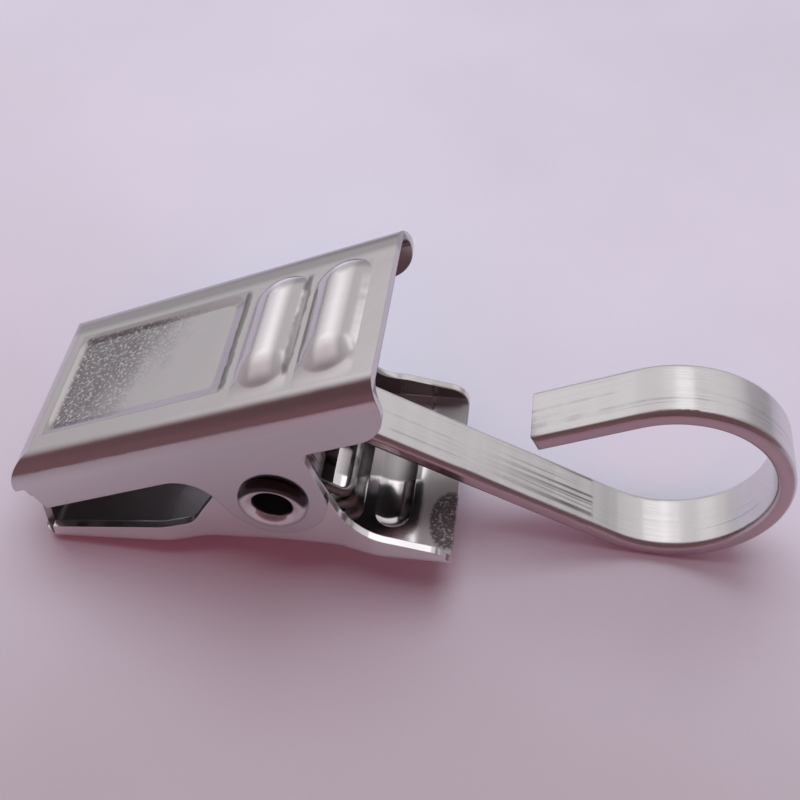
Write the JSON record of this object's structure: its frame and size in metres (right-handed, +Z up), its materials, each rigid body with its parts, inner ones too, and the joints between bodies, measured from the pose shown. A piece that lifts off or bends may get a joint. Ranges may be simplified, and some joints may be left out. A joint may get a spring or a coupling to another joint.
{
  "type": "curtain clip with swinging hook",
  "caption": "Sprung sheet-metal curtain clip: two folded jaws on a hollow rivet, a double coil spring between them, and an open strip hook that swings on the same rivet.",
  "frame": {"origin": "middle of the clip's outer box at table height", "axes": "+X from the jaw tips to the hook's ring, Y along the rivet, +Z up; the clip lies on its lower jaw and on the ring"},
  "size_m": [0.0544, 0.0174, 0.021],
  "materials": {
    "plated_jaw": "bright nickel plate on pressed sheet steel",
    "rivet": "bright plated, rims rolled",
    "spring_wire": "drawn wire, satin",
    "strip_steel": "satin strip with lengthwise drawing marks"
  },
  "bodies": {
    "lower": {"lower_jaw": "plated_jaw", "torsion_spring": "spring_wire"},
    "upper": {"upper_jaw": "plated_jaw", "pivot_rivet": "rivet"},
    "hook": {"hook": "strip_steel"}
  },
  "joints": [
    {"name": "jaw_pivot", "type": "hinge", "parent": "lower", "child": "upper", "pos_m": [-0.00839, 0, 0.00879], "axis": [0, 1, 0], "range_deg": [0, 30], "stiffness_Nm_per_rad": 0.115, "springref_deg": -45.84, "deforming": ["torsion_spring"]},
    {"name": "hook_swing", "type": "hinge", "parent": "lower", "child": "hook", "pos_m": [-0.00839, 0, 0.00879], "axis": [0, -1, 0], "range_deg": [-6, 34]}
  ]
}
